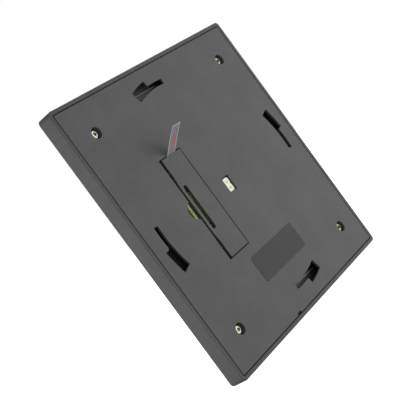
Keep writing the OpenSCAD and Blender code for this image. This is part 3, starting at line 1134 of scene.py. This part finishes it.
# ---------------------------------------------------------------------------- pull film
@dataclass
class PullFilm:
    """The clear film that lifts the upper cell: it leaves the door's top seam at a lean."""

    lean: float = 53.8
    thickness: float = 0.14
    curl: float = 0.5
    curl_from: float = 0.45
    rows: int = 14
    mark_from: float = 11.5
    mark_to: float = 19.6

    def build(self) -> None:
        """Builds the film with a faint curl in its CAD strip's plane, and stands it for the strip."""
        low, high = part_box("pull_tab")
        width = high.x - low.x
        length = math.sqrt((high - low).length_squared - width**2)
        film = Workpiece.strip("pull_film", width, length)
        film.obj.data.uv_layers[0].name = "film"
        for row in range(1, self.rows):
            film.cut((0, length * row / self.rows, 0), (0, 1, 0))
        self._curl(film, length)
        film.modify("SOLIDIFY", thickness=self.thickness * MM, offset=0)
        film.move(self._plane((low + high) / 2, length))
        # The film's paler edge colour is a painted highlight along its cut edges.
        finish = PrintedFilm(
            "pull_film_print", colour=(0.34, 0.34, 0.37), edge=(0.6, 0.6, 0.64), mark=(0.7, 0.09, 0.05),
            width=width / MM, length=length / MM, mark_from=self.mark_from, mark_to=self.mark_to,
        )
        obj = film.done(finish.make(), Slot.FILM)
        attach(obj, Body.FILM.value)
        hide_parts("pull_tab")

    def _curl(self, film: Workpiece, length: float) -> None:
        """Lifts the outer rows by a growing amount, so that the film isn't dead flat.

        Args:
            film: The flat film.
            length: Its length.
        """
        start = length * self.curl_from
        for row in range(self.rows + 1):
            at = length * row / self.rows
            if at <= start:
                continue
            rise = self.curl * MM * ((at - start) / (length - start)) ** 2
            film.pick("VERT", lambda v, at=at: abs(v.co.y - at) < TOUCH)
            bpy.ops.transform.translate(value=(0, 0, rise))

    def _plane(self, middle: Vector, length: float) -> Matrix:
        """The turn and place that bring the flat film into its CAD strip.

        Args:
            middle: The strip's middle.
            length: Its length.

        Returns:
            The film's place.
        """
        lean = math.radians(self.lean)
        run = Vector((0, math.sin(lean), math.cos(lean)))
        across = Vector((-1, 0, 0))
        place = Matrix((across, run, across.cross(run))).transposed().to_4x4()
        place.translation = middle - run * length / 2
        return place


# ---------------------------------------------------------------------------- inside
@dataclass
class Electronics:
    """Board, chips, ribbon, small screws and the middle power socket."""

    chip_break: float = 0.08
    shield_break: float = 0.1
    part_break: float = 0.06
    screw_break: float = 0.05
    socket_break: float = 0.18

    def build(self) -> None:
        """Dresses the nodes of the board and its socket."""
        lacquer = BoardLacquer("board_lacquer", colour=(0.42, 0.67, 0.09), track=(0.5, 0.73, 0.15))
        chip = Flecked("chip_moulding", colour=(0.018, 0.018, 0.02), fleck=(0.035, 0.035, 0.036))
        shield = Metal(
            "shield_can", colour=(0.7, 0.7, 0.68), roughness=(0.24, 0.42), stain_share=0.1
        )
        ceramic = Flecked(
            "ceramic_parts", colour=(0.3, 0.22, 0.13), fleck=(0.7, 0.69, 0.65),
            roughness=(0.32, 0.5), fleck_scale=1.1,
        )
        steel = Metal("small_screw_steel", colour=(0.62, 0.6, 0.56), roughness=(0.26, 0.44))
        ribbon = Flecked(
            "ribbon", colour=(0.48, 0.2, 0.05), fleck=(0.62, 0.3, 0.09),
            roughness=(0.22, 0.4), fleck_scale=1.4,
        )
        dress(lacquer.make(), "main_board")
        dress(chip.make(), "controller_chip", "memory_chip", "flex_connector", soften=self.chip_break)
        dress(shield.make(), "radio_module", soften=self.shield_break)
        dress(ceramic.make(), "board_passives", soften=self.part_break)
        dress(steel.make(), "board_screws", "tray_screws", soften=self.screw_break)
        dress(ribbon.make(), "display_flex")
        self.socket()

    def socket(self) -> None:
        """Dresses the power socket and its contacts."""
        nylon = Nylon("socket_nylon", colour=(0.93, 0.93, 0.75), shade=(0.88, 0.88, 0.68))
        tin = Metal("pin_tin", colour=(0.86, 0.85, 0.76), roughness=(0.34, 0.52), stain_share=0.05)
        dress(nylon.make(), "power_socket_body", soften=self.socket_break, segments=3)
        dress(tin.make(), "power_socket_contacts")


@dataclass
class CellBay:
    """The two coin cells, each with a plus sign on its can, their holders and springs."""

    holder_break: float = 0.1
    plus_reach: float = 1.9
    plus_half: float = 0.28
    plus_rise: float = 0.06
    plus_round: float = 0.6

    def build(self) -> None:
        """Dresses holders and springs and builds both cells."""
        holder = Flecked(
            "holder_moulding", colour=(0.016, 0.016, 0.016), fleck=(0.03, 0.03, 0.03),
            roughness=(0.37, 0.55), fleck_scale=3.0,
        )
        gold = Metal(
            "spring_plating", colour=(0.8, 0.6, 0.28), roughness=(0.19, 0.37), stain_share=0.15
        )
        dress(holder.make(), "cell_holder_upper", "cell_holder_lower", soften=self.holder_break)
        dress(gold.make(), "positive_contacts", "negative_contacts")
        for place in ("upper", "lower"):
            self._cell(place)

    def _cell(self, place: str) -> None:
        """One cell's can, which stands for the CAD node, with its plus sign.

        Args:
            place: "upper" or "lower".
        """
        node = f"coin_cell_{place}"
        low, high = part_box(node)
        x, z = (low.x + high.x) / 2, (low.z + high.z) / 2
        steel = Metal(
            f"{node}_steel", colour=(0.7, 0.7, 0.69), roughness=(0.34, 0.52), stain_share=0.1,
            rings_at=(x / MM, z / MM),
        ).make()
        can = Workpiece.copy_of(f"cell_can_{place}", node).done(steel, Slot.CELL, even=True)
        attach(can, Body.HOUSING.value)
        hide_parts(node)
        self._plus(f"cell_plus_{place}", x, high.y, z, steel)

    def _plus(self, name: str, x: float, top: float, z: float, steel: bpy.types.Material) -> None:
        """The plus sign that is pressed up in the can's face.

        Args:
            name: The piece's name.
            x: Its centre across the door.
            top: The can's face.
            z: Its centre up and down.
            steel: The can's steel.
        """
        half, rise = self.plus_half * MM, self.plus_rise * MM
        sign = Workpiece.block(name, (x - half, top - rise, z - half), (x + half, top + rise, z + half))
        sign.arms(self.plus_reach * MM - half)
        sign.sharp(beyond=top).bevel(rise * self.plus_round, 2)
        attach(sign.done(steel, Slot.CELL), Body.HOUSING.value)


@dataclass
class Display:
    """Front glass, adhesive ring, picture film, backplane and the tray behind them."""

    glass_gap: float = 0.03
    glass_break: float = 0.2

    def build(self) -> None:
        """Builds the glass and dresses the layers behind it."""
        self.glass()
        ring = Flecked(
            "adhesive_ring", colour=(0.01, 0.01, 0.01), fleck=(0.018, 0.018, 0.018),
            roughness=(0.52, 0.7), fleck_scale=4.0,
        )
        picture = PicturePaper("picture_film", colour=(0.78, 0.78, 0.74), dot=(0.66, 0.66, 0.63))
        backplane = Flecked(
            "panel_backplane", colour=(0.12, 0.15, 0.15), fleck=(0.18, 0.2, 0.2),
            roughness=(0.12, 0.3), fleck_scale=0.3,
        )
        tray = Flecked(
            "black_coated_tray", colour=(0.035, 0.035, 0.039), fleck=(0.055, 0.055, 0.06),
            fleck_scale=1.5,
        )
        dress(ring.make(), "glass_gasket")
        dress(picture.make(), "display_film")
        dress(backplane.make(), "display_backplane")
        dress(tray.make(), "panel_tray")

    def glass(self) -> None:
        """Builds the cover glass, a hair clear of the ring behind it."""
        low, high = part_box("front_glass")
        plate = Workpiece.block("front_cover_glass", low, high - Vector((0, self.glass_gap * MM, 0)))
        plate.sharp().bevel(self.glass_break * MM, 2)
        clear = ClearSheet("cover_glass", colour=(0.97, 0.98, 0.98))
        obj = plate.done(clear.make(), Slot.GLASS, smooth=20)
        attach(obj, Body.HOUSING.value)
        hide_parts("front_glass")


# ---------------------------------------------------------------------------- studio
@dataclass
class Studio:
    """White backdrop and floor, soft lights and the camera.

    The lamps' places and sizes and the floor's side are in metres, the camera's in millimetres.
    """

    azimuth: float = 130.95
    elevation: float = 2.12
    roll: float = -36.25
    distance: float = 628.8
    target: tuple[float, float, float] = (30.86, 0.0, -3.78)
    lens: float = 88.38
    sensor: float = 36.0
    nearest: float = 10.0
    floor_side: float = 6.0
    backdrop: float = 1.0
    room_light: float = 0.62
    key_at: tuple[float, float, float] = (-1.5, 1.35, -0.2)
    key_side: float = 1.6
    key_watts: float = 19.0
    fill_at: tuple[float, float, float] = (0.75, -0.65, 0.0)
    fill_side: float = 0.6
    fill_watts: float = 4.9

    def build(self) -> None:
        """Sets up the room round the object."""
        self.room()
        self.floor()
        self.lamp("key_light", self.key_at, self.key_side, self.key_watts)
        self.lamp("fill_light", self.fill_at, self.fill_side, self.fill_watts)
        self.camera()

    def room(self) -> None:
        """A white backdrop that lights the object with a dimmer glow."""
        scene = bpy.context.scene
        world = bpy.data.worlds.new("studio_world")
        world.use_nodes = True
        tree = world.node_tree
        white = tree.nodes["Background"]
        white.inputs["Color"].default_value = (1, 1, 1, 1)
        seen = tree.nodes.new("ShaderNodeLightPath")
        strength = tree.nodes.new("ShaderNodeMapRange")
        strength.inputs["To Min"].default_value = self.room_light
        strength.inputs["To Max"].default_value = self.backdrop
        tree.links.new(seen.outputs["Is Camera Ray"], strength.inputs["Value"])
        tree.links.new(strength.outputs["Result"], white.inputs["Strength"])
        scene.world = world
        scene.view_settings.view_transform = "Standard"

    def floor(self) -> None:
        """A floor at the object's lowest point, which only the camera sees."""
        deselect()
        bpy.ops.mesh.primitive_plane_add(size=self.floor_side, location=(0, 0, CAD_BOX[0].z))
        floor = bpy.context.object
        floor.name = "studio_floor"
        floor.data.materials.append(StudioWhite().make())
        floor.visible_diffuse = floor.visible_glossy = floor.visible_transmission = False
        floor.visible_shadow = False

    def lamp(self, name: str, at: Point, side: float, watts: float) -> None:
        """A square soft light that faces the object.

        Args:
            name: The light's name.
            at: Its place in metres.
            side: Its side in metres.
            watts: Its power.
        """
        light = bpy.data.lights.new(name, "AREA")
        light.shape = "SQUARE"
        light.size = side
        light.energy = watts
        obj = bpy.data.objects.new(name, light)
        obj.location = tuple(at)
        obj.rotation_mode = "QUATERNION"
        obj.rotation_quaternion = (-Vector(at)).to_track_quat("-Z", "Y")
        bpy.context.scene.collection.objects.link(obj)

    def camera(self) -> None:
        """The camera, aimed at its target and rolled about its own line of sight."""
        data = bpy.data.cameras.new("camera")
        data.lens = self.lens
        data.sensor_width = self.sensor
        data.clip_start = self.nearest * MM
        obj = bpy.data.objects.new("camera", data)
        turn, rise = math.radians(self.azimuth), math.radians(self.elevation)
        back = Vector((math.sin(turn) * math.cos(rise), -math.cos(turn) * math.cos(rise), math.sin(rise)))
        obj.location = Vector(self.target) * MM + back * self.distance * MM
        aim = (-back).to_track_quat("-Z", "Y")
        obj.rotation_mode = "QUATERNION"
        obj.rotation_quaternion = aim @ Quaternion((0, 0, 1), math.radians(self.roll))
        bpy.context.scene.collection.objects.link(obj)
        bpy.context.scene.camera = obj


def main() -> None:
    logging.basicConfig(level=logging.INFO, format="%(message)s")
    for assembly in (Studio(), Housing(), BatteryDoor(), PullFilm(), Electronics(), CellBay(), Display()):
        LOG.info("building %s", type(assembly).__name__)
        assembly.build()


if __name__ == "__main__":
    main()
